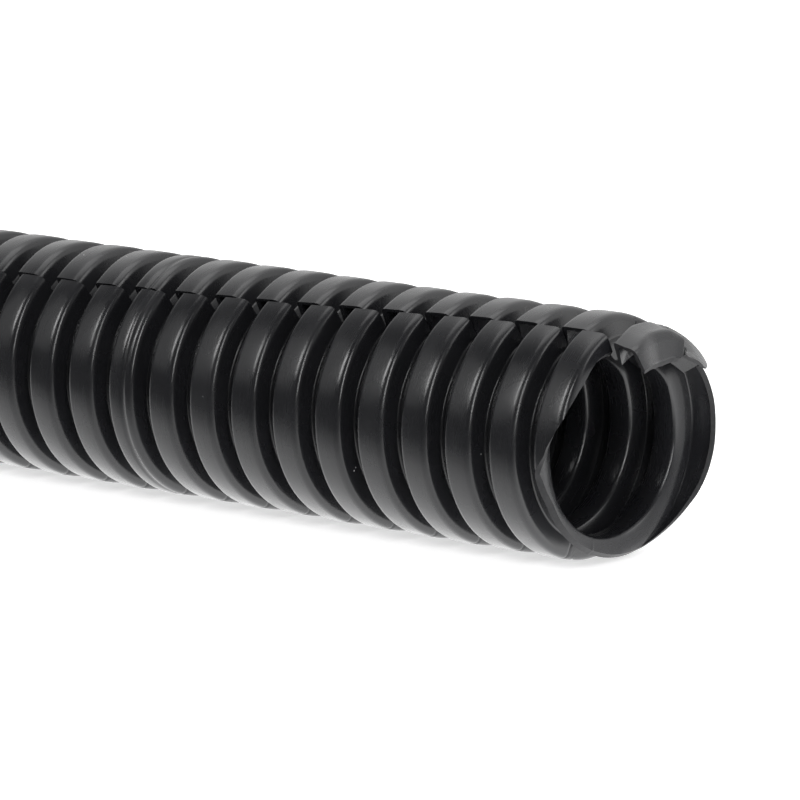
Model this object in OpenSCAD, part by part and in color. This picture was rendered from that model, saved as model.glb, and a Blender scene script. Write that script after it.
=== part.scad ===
// Slit corrugated conduit: a thin-walled black plastic tube with square-shouldered rings, slit along
// its whole length so that cables can be laid in from the side. It is one piece of stock, sold by the
// metre. The tube lies along X on z = 0, its hand-cut end at +X and its square end at -X.
// Every size is in millimetres and every angle in degrees.

/* [Tube] */

// Length of the piece, from the square end to the farthest corner of the hand-cut end
length = 1000; // [80:1:1500]
// Diameter over the crests of the rings
crest_d = 21.2; // [20.4:0.1:30]
// Clear bore, inside the valleys between the rings
bore_d = 16.5; // [10:0.1:17.2]
// Thickness of the plastic, in the crests and in the valleys
wall = 0.45; // [0.25:0.05:0.8]

/* [Corrugation] */

// Distance from one ring to the next
pitch = 4.8; // [4.4:0.1:8]
// Width of a ring across its crest
crest_w = 2.75; // [1.6:0.05:3.1]
// How far a shoulder leans along the tube between the crest and the valley
lean = 0.15; // [0.05:0.05:0.3]
// Radius of the outer corners of a crest
crest_r = 0.45; // [0.15:0.05:0.6]

/* [Slit] */

// Gap between the two edges of the slit, measured round the crests
slit_gap = 0.15; // [0.05:0.05:2]
// Where the slit lies round the tube, from straight up towards the front (-Y)
slit_turn = 25; // [0:1:180]

/* [Cut end] */
// How far round the front the cut is shallow, down from the slit.
front_span = 65; // [10:5:100]
// How far behind the tip the cut lies there.
front_back = 4.7; // [0.5:0.1:9.5]
// How far round under the tube the cut is deepest, from there.
under_span = 120; // [10:5:140]
// How far behind the tip the cut lies there.
under_back = 7.5; // [0.5:0.1:9.5]
// How far up the back the cut is shallow again, from there. The flap that is left beside the slit is the tip.
side_span = 100; // [10:5:100]
// How far behind the tip the cut lies there.
side_back = 3.5; // [0.5:0.1:9.5]

/* [Hidden] */

crest_rad = crest_d / 2;                     // outside of the crests
foot_rad = bore_d / 2 + wall;                // outside of the valleys
ring_x = -crest_w / 2 - lean;                // middle of the last ring, whose front foot is the tip
first = -ceil(length / pitch) - 1;           // the farthest ring, counted from that one
under_from = 90 + slit_turn + front_span;    // where the deepest part of the cut starts, from the back
side_from = under_from + under_span;         // where the shallow part up the back starts
trim = 4 * pitch;                            // thickness of the block that trims the square end
corner_steps = 2;                            // cones that make up the rounding of a crest's corner
slit_deg = slit_gap / crest_rad * 180 / PI;  // angle the slit takes out of the tube

// The rounding of one corner of a crest, as points from the crest to the shoulder. s is the side of the
// crest: -1 back, 1 front. The shoulder leans away from square by `a` degrees.
function crest_corner(x, s, a) = let (t = crest_r * tan((90 - a) / 2)) [
    for (i = [0 : corner_steps]) let (b = (90 - a) * i / corner_steps)
        [x + s * (crest_w / 2 - t + crest_r * sin(b)), crest_rad - crest_r * (1 - cos(b))]];

// The outside of the ring at x, from its front foot over the crest to its back foot.
function outer_skin(x) = let (a = atan(lean / (crest_rad - foot_rad)), c = crest_corner(x, 1, a)) concat(
    [[x + crest_w / 2 + lean, foot_rad]], [for (i = [corner_steps : -1 : 0]) c[i]],
    crest_corner(x, -1, a), [[x - crest_w / 2 - lean, foot_rad]]);

// The inside of the ring at x, the same way round, with sharp corners.
function inner_skin(x) = let (h = crest_w / 2 - wall) [
    [x + h + lean, foot_rad - wall], [x + h, crest_rad - wall],
    [x - h, crest_rad - wall], [x - h - lean, foot_rad - wall]];

// The plastic along the whole tube: the outer skin from front to back, then the inner one back again.
module wall_section() {
    outer = [for (i = [0 : -1 : first]) each outer_skin(i * pitch + ring_x)];
    inner = [for (i = [0 : -1 : first]) each inner_skin(i * pitch + ring_x)];
    polygon(concat(outer, [for (i = [len(inner) - 1 : -1 : 0]) inner[i]]));
}

// One step of the wavy cut: a wedge of `span` degrees from angle `from`, that takes off the last `back`.
module cut_step(from, span, back) {
    translate([-back, 0, 0]) rotate([90, 0, 90]) linear_extrude(back + 1)
        polygon(concat([[0, 0]], [for (i = [0 : 4]) let (a = from + span * i / 4)
            crest_d * [cos(a), sin(a)]]));
}

// The whole tube, ring by ring, turned round its axis and then trimmed at both ends.
module conduit() {
    color([0.03, 0.03, 0.032])
    translate([length / 2, 0, crest_rad])
    difference() {
        rotate([slit_turn, 0, 0]) rotate([0, 90, 0]) rotate([0, 0, 180 + slit_deg / 2])
            rotate_extrude(angle = 360 - slit_deg, $fn = 96) rotate(90) mirror([0, 1]) wall_section();
        cut_step(90 + slit_turn, front_span, front_back);
        cut_step(under_from, under_span, under_back);
        cut_step(side_from, side_span, side_back);
        translate([-length - trim, -crest_d, -crest_d]) cube([trim, 2 * crest_d, 2 * crest_d]);
    }
}

conduit();
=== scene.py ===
"""Slit corrugated conduit: a thin black plastic tube with square-shouldered rings, a slit and a hand-cut end."""
import logging
import math
from dataclasses import dataclass, field
from enum import Enum

import bmesh
import bpy
import numpy as np
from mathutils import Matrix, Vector


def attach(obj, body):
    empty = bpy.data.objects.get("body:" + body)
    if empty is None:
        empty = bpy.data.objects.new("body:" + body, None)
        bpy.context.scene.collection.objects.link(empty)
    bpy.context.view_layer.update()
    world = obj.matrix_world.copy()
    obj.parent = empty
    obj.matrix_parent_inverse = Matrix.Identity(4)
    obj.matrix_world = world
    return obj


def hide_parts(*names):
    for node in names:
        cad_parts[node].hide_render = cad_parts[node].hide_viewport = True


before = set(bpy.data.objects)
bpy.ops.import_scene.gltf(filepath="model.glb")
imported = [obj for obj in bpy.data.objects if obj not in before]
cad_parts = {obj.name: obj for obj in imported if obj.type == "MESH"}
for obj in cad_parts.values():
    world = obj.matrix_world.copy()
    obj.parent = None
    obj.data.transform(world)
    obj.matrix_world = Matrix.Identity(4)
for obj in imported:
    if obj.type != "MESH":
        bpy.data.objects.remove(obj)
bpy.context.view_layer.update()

MM = 0.001
VIEW_BEHIND_RING11 = 23.36  # millimetres from ring 11's back corner to the middle of the view
LOG = logging.getLogger("conduit")


class Skin(Enum):
    """The two faces of the tube's wall."""

    OUTER = "outer"
    INNER = "inner"


class Detail(Enum):
    """How finely a run is divided: steps on a crest corner, steps on a foot, degrees between columns."""

    FINE = (5, 3, 1.9)
    NEAR = (4, 2, 2.5)
    FAR = (3, 1, 5.6)


def smoothstep(value: np.ndarray) -> np.ndarray:
    """Rises from 0 to 1 as value goes from 0 to 1, level at both ends: three v squared less two v cubed.

    Args:
        value: where on the rise each point is.

    Returns:
        The risen values, of the same shape.
    """
    v = np.clip(value, 0.0, 1.0)
    return v * v * (3.0 - 2.0 * v)


def ramp(nodes: bpy.types.Nodes, links: bpy.types.NodeLinks, value: bpy.types.NodeSocket, low: tuple[float, float],
         high: tuple[float, float], smooth: bool = False) -> bpy.types.NodeSocket:
    """A Map Range node: from low's second number at low's first, to high's second at high's first, and level
    beyond.

    Args:
        nodes: the tree's nodes.
        links: the tree's links.
        value: what is mapped.
        low: a value and what it becomes.
        high: a larger value and what it becomes.
        smooth: whether the ramp eases in and out.

    Returns:
        The mapped value.
    """
    node = nodes.new("ShaderNodeMapRange")
    if smooth:
        node.interpolation_type = "SMOOTHSTEP"
    node.inputs["From Min"].default_value, node.inputs["To Min"].default_value = low
    node.inputs["From Max"].default_value, node.inputs["To Max"].default_value = high
    links.new(value, node.inputs["Value"])
    return node.outputs["Result"]


def to_camera(nodes: bpy.types.Nodes, links: bpy.types.NodeLinks, value: bpy.types.NodeSocket,
              seen: float) -> bpy.types.NodeSocket:
    """One number for what the camera sees directly and another value for every other ray.

    Args:
        nodes: the tree's nodes.
        links: the tree's links.
        value: for the other rays.
        seen: for the camera's own rays.

    Returns:
        The chosen value.
    """
    path = nodes.new("ShaderNodeLightPath")
    choice = nodes.new("ShaderNodeMix")
    choice.data_type = "FLOAT"
    choice.inputs["B"].default_value = seen
    links.new(path.outputs["Is Camera Ray"], choice.inputs["Factor"])
    links.new(value, choice.inputs["A"])
    return choice.outputs["Result"]


@dataclass(frozen=True)
class RingSection:
    """The wall's section along one ring, in millimetres. A station counts rings: +0 is the back corner of the
    crest, +0.25 its front corner, +0.5 the foot of the front shoulder and +0.75 the foot of the next ring's back
    shoulder."""

    pitch: float = 4.8
    crest_rad: float = 10.6
    bore_rad: float = 8.25
    wall: float = 0.45
    crest_wall: float = 0.3
    crest_w: float = 2.75
    lean: float = 0.15
    back_corner: float = 0.4
    front_corner: float = 0.68
    foot_corner: float = 0.22
    inner_rounding: tuple[float, float, float, float] = (0.1, 0.3, 0.95, 0.95)

    def corners(self, skin: Skin) -> tuple[np.ndarray, np.ndarray]:
        """The section's sharp corners over one ring and the two corners on each side of it.

        Args:
            skin: which face of the wall.

        Returns:
            Corner points as rows of (along, radius), and the rounding radius at each.
        """
        inset = 0.0 if skin is Skin.OUTER else self.wall
        top = self.crest_rad - (0.0 if skin is Skin.OUTER else self.crest_wall)
        foot = self.bore_rad + self.wall - inset
        front_foot = self.crest_w + self.lean - inset
        along = np.array([inset, self.crest_w - inset, front_foot, self.pitch - self.lean + inset])
        radius = np.array([top, top, foot, foot])
        if skin is Skin.OUTER:
            rounding = np.array([self.back_corner, self.front_corner, self.foot_corner, self.foot_corner])
        else:
            rounding = np.array(self.inner_rounding)
        index = np.arange(-2, 7)
        points = np.stack([along[index % 4] + (index // 4) * self.pitch, radius[index % 4]], axis=1)
        return points, rounding[index % 4]

    def table(self, skin: Skin, steps: int = 8) -> tuple[np.ndarray, np.ndarray, np.ndarray]:
        """One ring of the section with its corners rounded. Each corner is a quadratic curve between the points
        where a circle of the rounding radius would touch the two sides, kept short of the middle of each side.

        Args:
            skin: which face of the wall.
            steps: divisions of each rounded corner.

        Returns:
            Stations from 0 to 1, the distance along and the radius at each.
        """
        points, rounding = self.corners(skin)
        before, after = points[:-2] - points[1:-1], points[2:] - points[1:-1]
        long_b, long_a = np.linalg.norm(before, axis=1), np.linalg.norm(after, axis=1)
        cosine = np.clip((before * after).sum(axis=1) / (long_b * long_a), -1, 1)
        reach = rounding[1:-1] / np.tan(np.arccos(cosine) / 2)
        reach = np.minimum(reach, 0.48 * np.minimum(long_b, long_a))
        t = np.linspace(0.0, 1.0, steps + 1)[None, :, None]
        start = points[1:-1] + before * (reach / long_b)[:, None]
        end = points[1:-1] + after * (reach / long_a)[:, None]
        middle = points[1:-1][:, None]
        curve = (1 - t) ** 2 * start[:, None] + 2 * t * (1 - t) * middle + t**2 * end[:, None]
        corner = (np.arange(-1, 6) * 0.25)[:, None]
        tt = t[:, :, 0]
        station = corner + 0.25 * (tt * (reach / long_a)[:, None] - (1 - tt) * (reach / long_b)[:, None])
        return station.ravel(), curve[..., 0].ravel(), curve[..., 1].ravel()

    def at(self, station: np.ndarray, skin: Skin) -> tuple[np.ndarray, np.ndarray, np.ndarray, np.ndarray]:
        """The section at any station, and its outward normal: the slope of the rounded outline turned a right
        angle.

        Args:
            station: ring number plus part of a ring.
            skin: which face of the wall.

        Returns:
            The distance along from ring 0's back corner, the radius, and the two parts of the outer normal.
        """
        s, x, r = self.table(skin)
        ring = np.floor(station)
        part = station - ring
        dx, dr = np.gradient(x), np.gradient(r)
        size = np.hypot(dx, dr) + 1e-9
        along = ring * self.pitch + np.interp(part, s, x)
        return along, np.interp(part, s, r), np.interp(part, s, -dr / size), np.interp(part, s, dx / size)

    def station_at(self, along: float) -> float:
        """The outer station at a distance along, from ring 0's back corner.

        Args:
            along: distance in millimetres.

        Returns:
            The station.
        """
        s, x, _ = self.table(Skin.OUTER)
        ring = math.floor(along / self.pitch)
        return ring + float(np.interp(along - ring * self.pitch, x, s))

    def stations(self, first: float, last: float, detail: Detail) -> np.ndarray:
        """The stations at which a run is divided: closer together on each rounded corner, one in the crest's
        middle.

        Args:
            first: where the run starts.
            last: where it ends.
            detail: how finely.

        Returns:
            Rising stations, both ends among them.
        """
        crest_steps, foot_steps, _ = detail.value
        height = self.crest_rad - self.bore_rad - self.wall
        along, down = 0.25 / self.crest_w, 0.25 / height
        foot = self.foot_corner / (self.pitch - self.crest_w) * 0.25
        rise = self.foot_corner * down
        part = np.concatenate([
            np.linspace(-self.back_corner * down, self.back_corner * along, crest_steps), [0.125],
            np.linspace(0.25 - self.front_corner * along, 0.25 + self.front_corner * down, crest_steps),
            np.linspace(0.5 - rise, 0.5 + foot, foot_steps + 1),
            np.linspace(0.75 - foot, 0.75 + rise, foot_steps + 1),
        ])
        rings = np.arange(math.floor(first) - 1, math.ceil(last) + 1)
        all_of_them = np.sort((rings[:, None] + part[None, :]).ravel())
        keep = all_of_them[(all_of_them > first + 1e-3) & (all_of_them < last - 1e-3)]
        return np.concatenate([[first], keep, [last]])


@dataclass(frozen=True)
class Slit:
    """The slit along the tube. Degrees run from the back (0) over the top (90) to the front (180)."""

    gap: float = 0.16
    rings: tuple[float, ...] = (-200, -150, -100, -60, -20, 0, 4, 8, 10, 11.6, 12, 12.57)
    degrees: tuple[float, ...] = (118, 112, 121, 113, 125, 127, 122.6, 116, 112.5, 112.4, 118, 121.5)

    def angle(self, ring: np.ndarray) -> np.ndarray:
        """The slit's angle at each ring, straight from one known place to the next."""
        return np.interp(ring, self.rings, self.degrees)


@dataclass(frozen=True)
class HandCut:
    """The hand-cut end: the station of the cut from the slit's front edge down, under and up the back to the
    flap."""

    degrees: tuple[float, ...] = (
        112, 118, 124, 130, 141, 151, 160, 163, 168, 175, 179, 184, 187,
        192, 207, 230, 241, 259, 271, 288, 290, 304, 321, 334, 340, 380,
        393, 395, 396, 397, 398, 400, 404, 410, 420, 428, 431, 434, 490)
    station: tuple[float, ...] = (
        11.48, 11.44, 11.41, 11.4, 11.39, 11.34, 11.28, 11.25, 11.195, 11.13, 11.105, 11.045, 11.01,
        10.96, 10.88, 10.882, 10.891, 10.914, 10.947, 10.995, 11.01, 11.075, 11.16, 11.235, 11.26, 11.265,
        11.275, 11.4, 11.6, 11.85, 12.05, 12.12, 12.17, 12.2, 12.23, 12.3, 12.42, 12.49, 12.49)

    def at(self, degrees: np.ndarray) -> np.ndarray:
        """The station where the tube ends at each angle from 112 to 490 degrees."""
        return np.interp(degrees, self.degrees, self.station)


@dataclass(frozen=True)
class Distortion:
    """What springing and handling have done to the tube. The rings slip along the slit, their tops lean back, and
    at the cut end a flap beside the slit droops and is folded in. Slips are in rings, droops in millimetres. A pair
    such as slip_from is where a change starts and over how much it goes: in rings when it is named for rings, in
    millimetres of radius when for a height, and otherwise in degrees from the slit's front edge. Between the two
    angles of fold the droop's first ring goes from one of droop_starts to the other. flare_around is the flare's
    middle and its reach, in degrees round the tube."""

    slip_rings: tuple[float, ...] = (-4, 0, 3, 9, 10.5, 11.6, 12.3)
    slip: tuple[float, ...] = (0.0, 0.02, 0.14, 0.42, 0.42, 0.32, 0.3)
    slip_from: tuple[float, float] = (272.0, 32.0)
    front_slip_from: tuple[float, float] = (8.0, 22.0)
    lean: float = 0.3
    lean_from: tuple[float, float] = (280.0, 40.0)
    lean_fades_from: tuple[float, float] = (318.0, 44.0)
    flap_rings: tuple[float, float] = (11.7, 0.3)
    flap_back: float = 0.16
    flap_back_from: tuple[float, float] = (335.0, 25.0)
    flap_degrees: tuple[float, ...] = (396, 403, 408, 414, 421, 427, 433, 442, 452, 463, 472, 481)
    crest_droop: tuple[float, ...] = (2.2, 2.4, 2.5, 2.5, 2.6, 2.5, 1.2, 0.8, 0.75, 0.6, 0.4, 0.15)
    foot_droop: tuple[float, ...] = (2.2, 2.4, 2.5, 2.5, 2.6, 2.5, 1.3, 1.5, 1.7, 1.55, 1.0, 0.55)
    fold: tuple[float, float] = (428.0, 436.0)
    droop_starts: tuple[float, float] = (11.93, 11.78)
    lift_degrees: tuple[float, ...] = (386, 394, 422, 432)
    lift: tuple[float, ...] = (0.0, 1.3, 1.3, 0.0)
    lift_rings: tuple[float, float] = (11.7, 0.25)
    height_over_bore: tuple[float, float] = (8.25, 2.35)
    height_over_foot: tuple[float, float] = (8.7, 1.6)
    flare: float = 0.4
    flare_around: tuple[float, float] = (361.0, 24.0)
    flare_rings: tuple[float, float] = (11.1, 0.4)

    def slipped(self, from_slit: np.ndarray, ring: np.ndarray) -> np.ndarray:
        """How far the wall moves back along the tube. Behind the slit it slips by an amount for each ring, less at
        the flap's slit edge; the tops of the rings lean back along the tube but for its square end; and the slit's
        front edge slips a little. Each fades round the tube by a smoothstep.

        Args:
            from_slit: degrees from the slit's front edge, downwards and round.
            ring: the ring.

        Returns:
            The move along the tube, in rings, negative towards the square end.
        """
        at_flap = self.rise(ring, self.flap_rings)
        start = self.slip_from[0] - 22.0 * at_flap
        back = np.interp(ring, self.slip_rings, self.slip) * smoothstep((from_slit - start) / self.slip_from[1])
        back = back - self.flap_back * at_flap * self.rise(from_slit, self.flap_back_from)
        top = self.rise(from_slit, self.lean_from) * (1.0 - 0.6 * self.rise(from_slit, self.lean_fades_from))
        back = back + self.lean * top * (1.0 - 0.5 * at_flap) * smoothstep((ring + 195.0) / 40.0)
        front = np.interp(ring, (3.0, 7.0), (0.0, 0.04)) * (1.0 - self.rise(from_slit, self.front_slip_from))
        return -(back + front)

    @staticmethod
    def rise(value: np.ndarray, span: tuple[float, float]) -> np.ndarray:
        """A smoothstep from where span starts and over as much as it takes."""
        return smoothstep((value - span[0]) / span[1])

    @staticmethod
    def share(value: np.ndarray, span: "tuple[float | np.ndarray, float]") -> np.ndarray:
        """An even rise from 0 to 1, from where span starts and over as much as it takes."""
        return np.clip((value - span[0]) / span[1], 0.0, 1.0)

    def drooped(self, degrees: np.ndarray, ring: np.ndarray, radius: np.ndarray) -> np.ndarray:
        """How far the wall sinks towards the axis. The flap droops more and more towards its front, by one amount
        at the crest and another at the foot; beyond the fold the foot before it is lifted; at the back the ring
        before it flares.

        Args:
            degrees: the angle round the tube.
            ring: the ring.
            radius: the radius before the droop, in millimetres.

        Returns:
            The droop, in millimetres.
        """
        height = self.share(radius, self.height_over_bore)
        above_foot = self.share(radius, self.height_over_foot)
        around = smoothstep(1.3 - abs(degrees - self.flare_around[0]) / self.flare_around[1])
        flare = self.flare * around * self.rise(ring, self.flare_rings) * (ring < 11.9)
        foot = np.interp(degrees, self.flap_degrees, self.foot_droop, left=0.0)
        crest = np.interp(degrees, self.flap_degrees, self.crest_droop, left=0.0)
        growing = self.share(ring, (np.interp(degrees, self.fold, self.droop_starts), 0.5))
        lift = np.interp(degrees, self.lift_degrees, self.lift) * self.rise(ring, self.lift_rings)
        return growing * (foot + height * (crest - foot)) - lift * (1.0 - above_foot) - flare


@dataclass(frozen=True)
class SatinPlastic:
    """Moulded black plastic: a satin skin with faint mottling, hair-fine rubs round the rings and a little dust."""

    name: str = "satin_black_plastic"
    color: tuple[float, float, float] = (0.0100, 0.0102, 0.0116)
    dust: tuple[float, float, float] = (0.42, 0.42, 0.43)
    mottle: float = 1.7
    roughness: float = 0.25

    def build(self) -> bpy.types.Material:
        """Makes the material.

        Returns:
            The material, on Object coordinates in metres.
        """
        mat = bpy.data.materials.new(self.name)
        mat.use_nodes = True
        nodes, links = mat.node_tree.nodes, mat.node_tree.links
        shader = nodes["Principled BSDF"]
        shader.inputs["IOR"].default_value = 1.52
        where = nodes.new("ShaderNodeTexCoord").outputs["Object"]

        mottle = self.noise(nodes, links, where, (1, 1, 1), 260.0, 3.0)
        rubs = self.noise(nodes, links, where, (1, 0.035, 0.035), 9000.0, 2.0)
        grain = self.noise(nodes, links, where, (1, 1, 1), 6500.0, 2.0)
        dust = self.flecks(nodes, links, where)

        rough = ramp(nodes, links, mottle, (0.3, self.roughness - 0.04), (0.7, self.roughness + 0.06))
        streak = ramp(nodes, links, rubs, (0.6, 0.0), (0.8, 0.12))
        links.new(self.math(nodes, links, "ADD", rough, streak), shader.inputs["Roughness"])

        tint = nodes.new("ShaderNodeMix")
        tint.data_type = "RGBA"
        tint.inputs["A"].default_value = (*self.color, 1)
        tint.inputs["B"].default_value = (*(self.mottle * c for c in self.color), 1)
        links.new(mottle, tint.inputs["Factor"])
        dusty = nodes.new("ShaderNodeMix")
        dusty.data_type = "RGBA"
        dusty.inputs["B"].default_value = (*self.dust, 1)
        links.new(tint.outputs["Result"], dusty.inputs["A"])
        links.new(dust, dusty.inputs["Factor"])
        links.new(dusty.outputs["Result"], shader.inputs["Base Color"])

        relief = self.math(nodes, links, "ADD", grain, self.math(nodes, links, "MULTIPLY", rubs, 0.8))
        bump = nodes.new("ShaderNodeBump")
        bump.inputs["Strength"].default_value = 0.14
        bump.inputs["Distance"].default_value = 0.00003
        links.new(relief, bump.inputs["Height"])
        links.new(bump.outputs["Normal"], shader.inputs["Normal"])
        return mat

    @staticmethod
    def noise(nodes: bpy.types.Nodes, links: bpy.types.NodeLinks, where: bpy.types.NodeSocket,
              stretch: tuple[float, float, float], scale: float, detail: float) -> bpy.types.NodeSocket:
        """A noise pattern on the object, stretched by a factor along each axis.

        Args:
            nodes: the material's nodes.
            links: the material's links.
            where: the coordinates.
            stretch: factors along X, Y and Z.
            scale: waves in a metre.
            detail: octaves.

        Returns:
            The pattern's factor.
        """
        mapping = nodes.new("ShaderNodeMapping")
        mapping.inputs["Scale"].default_value = stretch
        links.new(where, mapping.inputs["Vector"])
        noise = nodes.new("ShaderNodeTexNoise")
        noise.inputs["Scale"].default_value = scale
        noise.inputs["Detail"].default_value = detail
        links.new(mapping.outputs["Vector"], noise.inputs["Vector"])
        return noise.outputs["Fac"]

    @staticmethod
    def math(nodes: bpy.types.Nodes, links: bpy.types.NodeLinks, what: str, a: bpy.types.NodeSocket,
             b: "bpy.types.NodeSocket | float") -> bpy.types.NodeSocket:
        """One Math node on two values.

        Args:
            nodes: the material's nodes.
            links: the material's links.
            what: the operation.
            a: the first value.
            b: the second, a socket or a number.

        Returns:
            The result.
        """
        node = nodes.new("ShaderNodeMath")
        node.operation = what
        links.new(a, node.inputs[0])
        if isinstance(b, float):
            node.inputs[1].default_value = b
        else:
            links.new(b, node.inputs[1])
        return node.outputs[0]

    def flecks(self, nodes: bpy.types.Nodes, links: bpy.types.NodeLinks,
               where: bpy.types.NodeSocket) -> bpy.types.NodeSocket:
        """Dust: the small middles of a few of a cell pattern's cells.

        Args:
            nodes: the material's nodes.
            links: the material's links.
            where: the coordinates.

        Returns:
            1 on a fleck and 0 elsewhere.
        """
        cells = nodes.new("ShaderNodeTexVoronoi")
        cells.inputs["Scale"].default_value = 900.0
        links.new(where, cells.inputs["Vector"])
        near = self.math(nodes, links, "LESS_THAN", cells.outputs["Distance"], 0.07)
        split = nodes.new("ShaderNodeSeparateColor")
        links.new(cells.outputs["Color"], split.inputs["Color"])
        few = self.math(nodes, links, "GREATER_THAN", split.outputs["Red"], 0.97)
        return self.math(nodes, links, "MULTIPLY", near, few)


@dataclass(frozen=True)
class CutPlastic:
    """Plastic where a knife has been through it: paler and duller, with torn grain."""

    name: str = "cut_plastic_edge"
    dark: tuple[float, float, float] = (0.010, 0.010, 0.011)
    pale: tuple[float, float, float] = (0.030, 0.030, 0.032)

    def build(self) -> bpy.types.Material:
        """Makes the material.

        Returns:
            The material, on Object coordinates in metres.
        """
        mat = bpy.data.materials.new(self.name)
        mat.use_nodes = True
        nodes, links = mat.node_tree.nodes, mat.node_tree.links
        shader = nodes["Principled BSDF"]
        shader.inputs["Roughness"].default_value = 0.5
        shader.inputs["Specular IOR Level"].default_value = 0.25
        where = nodes.new("ShaderNodeTexCoord").outputs["Object"]
        torn = SatinPlastic.noise(nodes, links, where, (1, 1, 1), 3000.0, 4.0)
        tint = nodes.new("ShaderNodeMix")
        tint.data_type = "RGBA"
        tint.inputs["A"].default_value = (*self.dark, 1)
        tint.inputs["B"].default_value = (*self.pale, 1)
        links.new(torn, tint.inputs["Factor"])
        links.new(tint.outputs["Result"], shader.inputs["Base Color"])
        bump = nodes.new("ShaderNodeBump")
        bump.inputs["Strength"].default_value = 0.5
        bump.inputs["Distance"].default_value = 0.00005
        links.new(torn, bump.inputs["Height"])
        links.new(bump.outputs["Normal"], shader.inputs["Normal"])
        return mat


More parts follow.
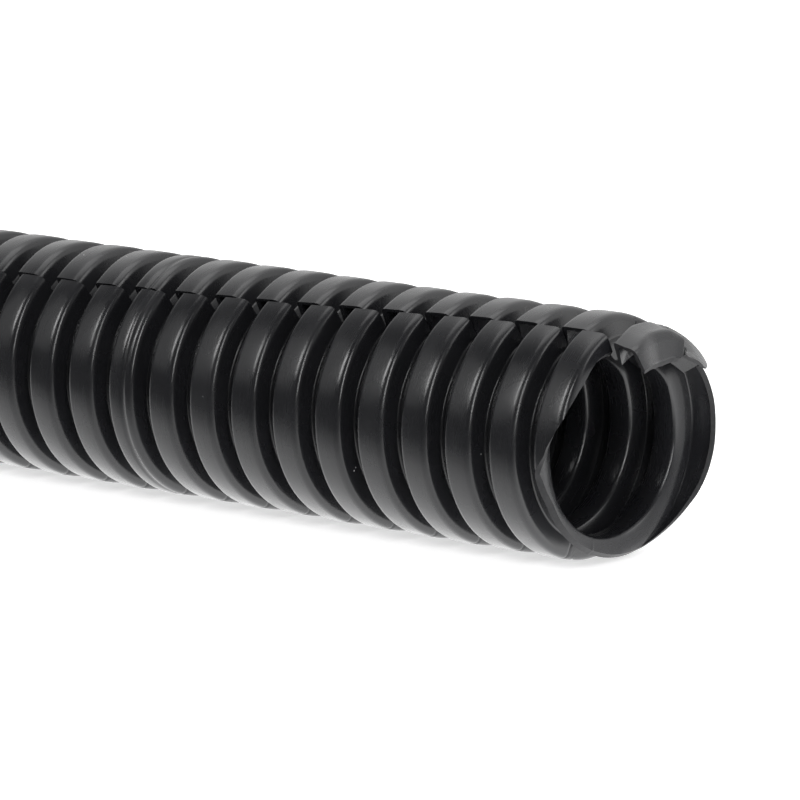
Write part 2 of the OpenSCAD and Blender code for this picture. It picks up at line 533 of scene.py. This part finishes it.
@dataclass
class Conduit:
    """The whole tube, in millimetres and degrees. ring11_x is where ring 11's back corner is along X. The mould
    has two parting lines, and the flap is creased along the second. One odd ring has a groove round it."""

    ring11_x: float = 492.30
    square_end_x: float = -500.0
    section: RingSection = field(default_factory=RingSection)
    slit: Slit = field(default_factory=Slit)
    cut: HandCut = field(default_factory=HandCut)
    distortion: Distortion = field(default_factory=Distortion)
    parting: tuple[float, float] = (251.0, 431.0)
    parting_depth: float = 0.05
    parting_half_width: float = 0.55
    crease_depth: float = 0.22
    odd_ring: float = 1.0
    odd_groove: float = 0.14
    waviness: float = 0.03
    inner_share: float = 0.4
    cut_finish_from: float = 11.4
    materials: list[bpy.types.Material] = field(default_factory=list)

    def columns(self, detail: Detail) -> np.ndarray:
        """Columns round the tube: 0 at the slit's front edge, 1 and 2 on the mould's parting lines, 3 at its back
        edge. They stand an even step apart, with four more beside each parting line, and the cut end has more at
        the crease and where the cut crosses the last ring's crest.

        Args:
            detail: how finely.

        Returns:
            Rising values from 0 to 3.
        """
        step = detail.value[2]
        spans = (133.0, 180.0, 47.0)
        even = [k + np.linspace(0, 1, round(span / step) + 1)[:-1] for k, span in enumerate(spans)]
        beside = []
        if detail is not Detail.FAR:
            for line in (1.0, 2.0):
                left, right = spans[int(line) - 1], spans[int(line)]
                beside += [line - 0.8 / left, line - 0.35 / left, line + 0.35 / right, line + 0.8 / right]
        if detail is Detail.FINE:
            beside += [*(2.0 + np.linspace(-2, 0, 5) / spans[1]), *(2.0 + np.linspace(0, 2, 5) / spans[2])]
            beside += [*np.linspace(0.36, 0.56, 50)]
        return np.unique(np.concatenate([*even, beside, [3.0]]))

    def angle(self, column: np.ndarray, ring: np.ndarray) -> np.ndarray:
        """The angle of a column at a ring: straight between the slit's front edge, the two parting lines and its
        back edge.

        Args:
            column: 0 to 3.
            ring: the ring, broadcast against column.

        Returns:
            Degrees, from the slit's angle to a full turn past it.
        """
        half = math.degrees(self.slit.gap / 2 / self.section.crest_rad)
        front = self.slit.angle(ring) + half
        back = front + 360.0 - 2 * half
        a, b = self.parting
        first = front + (a - front) * np.clip(column, 0, 1)
        second = (b - a) * np.clip(column - 1, 0, 1)
        third = (back - b) * np.clip(column - 2, 0, 1)
        return first + second + third

    def place(self, station: np.ndarray, column: np.ndarray, skin: Skin) -> np.ndarray:
        """Points of one face of the wall: the section's radius turned about the axis by the column's angle, moved
        in along its normal at the parting lines, the crease and the odd ring's groove (a bell curve), made a little
        wavy (a sine round the tube times a sine along it), slipped along by the slit and drooped at the flap.

        Args:
            station: stations, as a grid.
            column: columns, as a grid of the same shape.
            skin: which face of the wall.

        Returns:
            The points in metres, with x, y, z last.
        """
        along, radius, normal_x, normal_r = self.section.at(station, skin)
        ring = along / self.section.pitch
        degrees = self.angle(column, ring)
        from_slit = degrees - self.slit.angle(ring)
        from_first, from_crease = (abs(degrees - line) for line in self.parting)
        from_line = np.minimum(from_first, from_crease) / self.parting_half_width
        inward = self.parting_depth * smoothstep(1.25 - from_line)
        inward = inward + self.crease_depth * smoothstep(1.2 - from_crease / 1.3) * (ring > 12.15)
        inward = inward + self.odd_groove * np.exp(-(((ring - self.odd_ring - 0.35) / 0.055) ** 2))
        wave = self.waviness * np.sin(np.radians(degrees) * 3 + ring * 1.7) * np.sin(ring * 0.9 + 0.4)
        if skin is Skin.INNER:
            inward = inward * self.inner_share
        along = along - normal_x * inward
        radius = radius - normal_r * inward + wave - self.distortion.drooped(degrees, ring, radius)
        along = along + self.section.pitch * self.distortion.slipped(from_slit, ring)
        turn = np.radians(degrees)
        x = self.ring11_x - 11 * self.section.pitch + along
        return np.stack([x, radius * np.cos(turn), self.section.crest_rad + radius * np.sin(turn)], axis=-1) * MM

    def shell(self, name: str, first: float, last: "float | None", detail: Detail) -> bpy.types.Object:
        """A closed run of wall. At each station a loop goes round the outer face and back round the inner one;
        quads join one loop to the next, and the two ends are closed between the faces. Past the hand cut every
        station is drawn back to it; the cut's angle depends on its station, so the two are brought together by
        halves.

        Args:
            name: the piece's name.
            first: the station where it starts.
            last: the station where it ends, or None for the hand cut.
            detail: how finely.

        Returns:
            The piece.
        """
        column = self.columns(detail)
        far = last if last is not None else max(self.cut.station)
        station = self.section.stations(first, far, detail)
        if first < self.odd_ring < far:
            groove = 0.35 + np.array([-0.1, -0.06, -0.03, 0, 0.03, 0.06, 0.1])
            station = np.unique(np.concatenate([station, self.odd_ring + 0.25 * groove / 0.573]))
        st, col = np.meshgrid(station, column, indexing="ij")
        if last is None:
            end = np.full(column.shape, 11.5)
            for _ in range(12):
                end = 0.5 * end + 0.5 * self.cut.at(self.angle(column, end))
            st = np.where(st > end - 0.012, end, st)
        outer, inner = self.place(st, col, Skin.OUTER), self.place(st, col, Skin.INNER)
        rows, cols = st.shape
        points = np.concatenate([outer.reshape(-1, 3), inner.reshape(-1, 3)])
        out = np.arange(rows * cols).reshape(rows, cols)
        inn = out + rows * cols
        loop = np.concatenate([out, inn[:, ::-1]], axis=1)
        after = np.roll(loop, -1, axis=1)
        sides = np.stack([loop[:-1], after[:-1], after[1:], loop[1:]], axis=-1)
        cut_side = np.zeros((rows - 1, 2 * cols), dtype=np.int32)
        cut_side[:, [cols - 1, 2 * cols - 1]] = (station[:-1, None] > self.cut_finish_from).astype(np.int32)
        start = np.stack([out[0, :-1], inn[0, :-1], inn[0, 1:], out[0, 1:]], axis=-1)
        end = np.stack([out[-1, :-1], out[-1, 1:], inn[-1, 1:], inn[-1, :-1]], axis=-1)
        faces = np.concatenate([sides.reshape(-1, 4), start, end])
        finish = np.concatenate([cut_side.ravel(), np.ones(2 * (cols - 1), dtype=np.int32)])
        piece = self.mesh(name, points, faces, finish)
        if last is None:
            self.merge(piece)
        self.finish(piece)
        return piece

    def mesh(self, name: str, points: np.ndarray, faces: np.ndarray, finish: np.ndarray) -> bpy.types.Object:
        """Puts points and quads into a new mesh object, turned right side out.

        Args:
            name: the piece's name.
            points: rows of x, y, z.
            faces: rows of four corners.
            finish: which material each face has.

        Returns:
            The object, linked to the scene.
        """
        a, b, c, d = (points[faces[:, k]] for k in range(4))
        volume = (np.cross(a, b) * c).sum() + (np.cross(a, c) * d).sum()
        if volume < 0:
            faces = faces[:, ::-1]
        mesh = bpy.data.meshes.new(name)
        mesh.vertices.add(len(points))
        mesh.vertices.foreach_set("co", points.astype(np.float32).ravel())
        mesh.loops.add(faces.size)
        mesh.loops.foreach_set("vertex_index", faces.astype(np.int32).ravel())
        mesh.polygons.add(len(faces))
        mesh.polygons.foreach_set("loop_start", np.arange(0, faces.size, 4, dtype=np.int32))
        for material in self.materials:
            mesh.materials.append(material)
        mesh.polygons.foreach_set("material_index", finish.astype(np.int32))
        mesh.update(calc_edges=True)
        mesh.validate()
        piece = bpy.data.objects.new(name, mesh)
        bpy.context.scene.collection.objects.link(piece)
        return piece

    @staticmethod
    def merge(piece: bpy.types.Object) -> None:
        """Merges the stations that were drawn back to the cut, so that no face without area is left."""
        work = bmesh.new()
        work.from_mesh(piece.data)
        bmesh.ops.remove_doubles(work, verts=work.verts, dist=2e-6)
        work.to_mesh(piece.data)
        work.free()

    @staticmethod
    def finish(piece: bpy.types.Object) -> None:
        """Smooth shading with sharp edges kept, and the frame's calls for the piece."""
        piece.data.shade_smooth()
        piece.data.set_sharp_from_angle(angle=math.radians(40))
        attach(piece, "root")
        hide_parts("conduit")
        LOG.info("%s: %d faces", piece.name, len(piece.data.polygons))

    def build(self) -> None:
        """Builds the tube as runs that meet in the middle of a crest, finest at the hand-cut end."""
        self.materials = [SatinPlastic().build(), CutPlastic().build()]
        middle = 0.125
        square_end = self.section.station_at(self.square_end_x - self.ring11_x + 11 * self.section.pitch)
        joins = [square_end, *(ring + middle for ring in (-151, -105, -59, -14, 3))]
        self.shell("cut_end", joins[-1], None, Detail.FINE)
        self.shell("near_run", joins[-2], joins[-1], Detail.NEAR)
        for number, (first, last) in enumerate(zip(joins[:-2], joins[1:-1]), start=1):
            self.shell(f"far_run_{number}", first, last, Detail.FAR)


@dataclass
class Studio:
    """The floor, the white surround, the lamps and the camera. focus_x is the middle of the view along the tube, in
    metres."""

    focus_x: float
    floor_size: float = 60.0
    lens: float = 265.1
    aim_height: float = 0.0112
    camera_from_aim: tuple[float, float, float] = (0.3241, -0.3809, 0.0898)

    def surround(self) -> None:
        """The world: white to the camera; to everything else bright behind and above, and dim on the camera's
        side."""
        world = bpy.data.worlds.new("studio")
        bpy.context.scene.world = world
        world.use_nodes = True
        nodes, links = world.node_tree.nodes, world.node_tree.links
        nodes.clear()
        way = nodes.new("ShaderNodeTexCoord").outputs["Generated"]
        split = nodes.new("ShaderNodeSeparateXYZ")
        links.new(way, split.inputs["Vector"])
        behind = ramp(nodes, links, split.outputs["Y"], (-0.15, 0.12), (0.65, 1.2), smooth=True)
        back = nodes.new("ShaderNodeBackground")
        links.new(to_camera(nodes, links, behind, 1.0), back.inputs["Strength"])
        out = nodes.new("ShaderNodeOutputWorld")
        links.new(back.outputs["Background"], out.inputs["Surface"])

    def floor(self) -> None:
        """A pale floor that keeps the tube's shadow: its own light to the camera only lifts it to white. To other
        rays it is dark in front and pale behind, and glows under the tube as a lit table does."""
        half = self.floor_size / 2
        mesh = bpy.data.meshes.new("floor")
        mesh.from_pydata([(-half, -half, 0), (half, -half, 0), (half, half, 0), (-half, half, 0)], [], [(0, 1, 2, 3)])
        plane = bpy.data.objects.new("floor", mesh)
        bpy.context.scene.collection.objects.link(plane)
        mat = bpy.data.materials.new("pale_floor")
        mat.use_nodes = True
        nodes, links = mat.node_tree.nodes, mat.node_tree.links
        nodes.clear()
        where = nodes.new("ShaderNodeTexCoord").outputs["Object"]
        split = nodes.new("ShaderNodeSeparateXYZ")
        links.new(where, split.inputs["Vector"])
        across = split.outputs["Y"]
        front = ramp(nodes, links, across, (-0.050, 0.12), (-0.018, 0.9), smooth=True)
        tone = to_camera(nodes, links, front, 0.9)
        shade = nodes.new("ShaderNodeCombineColor")
        for band in ("Red", "Green", "Blue"):
            links.new(tone, shade.inputs[band])
        matt = nodes.new("ShaderNodeBsdfDiffuse")
        links.new(shade.outputs["Color"], matt.inputs["Color"])
        rise = ramp(nodes, links, across, (-0.026, 0.0), (-0.003, 3.0))
        fall = ramp(nodes, links, across, (0.006, 1.0), (0.020, 0.15))
        glow = SatinPlastic.math(nodes, links, "MULTIPLY", rise, fall)
        lift = nodes.new("ShaderNodeEmission")
        lift.inputs["Color"].default_value = (0.6, 0.6, 0.6, 1)
        links.new(to_camera(nodes, links, glow, 1.0), lift.inputs["Strength"])
        both = nodes.new("ShaderNodeAddShader")
        links.new(matt.outputs["BSDF"], both.inputs[0])
        links.new(lift.outputs["Emission"], both.inputs[1])
        out = nodes.new("ShaderNodeOutputMaterial")
        links.new(both.outputs["Shader"], out.inputs["Surface"])
        mesh.materials.append(mat)

    def lamp(self, name: str, place: tuple[float, float, float], size: tuple[float, float], watts: float) -> None:
        """A soft rectangular lamp that faces the middle of the view.

        Args:
            name: the lamp's name.
            place: where it stands from the middle of the view, in metres.
            size: its width and height, in metres.
            watts: its power.
        """
        light = bpy.data.lights.new(name, "AREA")
        light.shape = "RECTANGLE"
        light.size, light.size_y = size
        light.energy = watts
        lamp = bpy.data.objects.new(name, light)
        lamp.location = Vector((self.focus_x, 0, 0)) + Vector(place)
        lamp.rotation_euler = (-Vector(place)).to_track_quat("-Z", "Y").to_euler()
        bpy.context.scene.collection.objects.link(lamp)

    def camera(self) -> None:
        """The camera: a long lens, low, in front of the tube and well towards its cut end."""
        data = bpy.data.cameras.new("camera")
        data.sensor_width = 36.0
        data.lens = self.lens
        data.clip_end = 100.0
        camera = bpy.data.objects.new("camera", data)
        aim = Vector((self.focus_x, 0.0, self.aim_height))
        camera.location = aim + Vector(self.camera_from_aim)
        camera.rotation_euler = (aim - camera.location).to_track_quat("-Z", "Y").to_euler()
        bpy.context.scene.collection.objects.link(camera)
        bpy.context.scene.camera = camera

    def build(self) -> None:
        """Sets the stage."""
        self.surround()
        self.floor()
        self.lamp("overhead_softbox", (-0.1, 0.25, 0.9), (0.9, 0.6), 2.5)
        self.lamp("right_softbox", (0.62, -0.52, 0.42), (0.16, 0.6), 3.0)
        self.lamp("left_softbox", (-0.28, -0.62, 0.55), (0.22, 0.35), 2.4)
        self.lamp("front_fill", (-0.62, -0.5, 0.47), (0.5, 0.6), 0.5)
        self.lamp("back_right_softbox", (0.62, 0.4, 0.54), (0.35, 0.35), 0.9)
        self.camera()
        bpy.context.scene.view_settings.view_transform = "Standard"


def main() -> None:
    """Builds the tube and the stage."""
    logging.basicConfig(level=logging.INFO, format="%(message)s")
    conduit = Conduit()
    Studio(focus_x=(conduit.ring11_x - VIEW_BEHIND_RING11) * MM).build()
    conduit.build()
    bpy.context.view_layer.update()


if __name__ == "__main__":
    main()
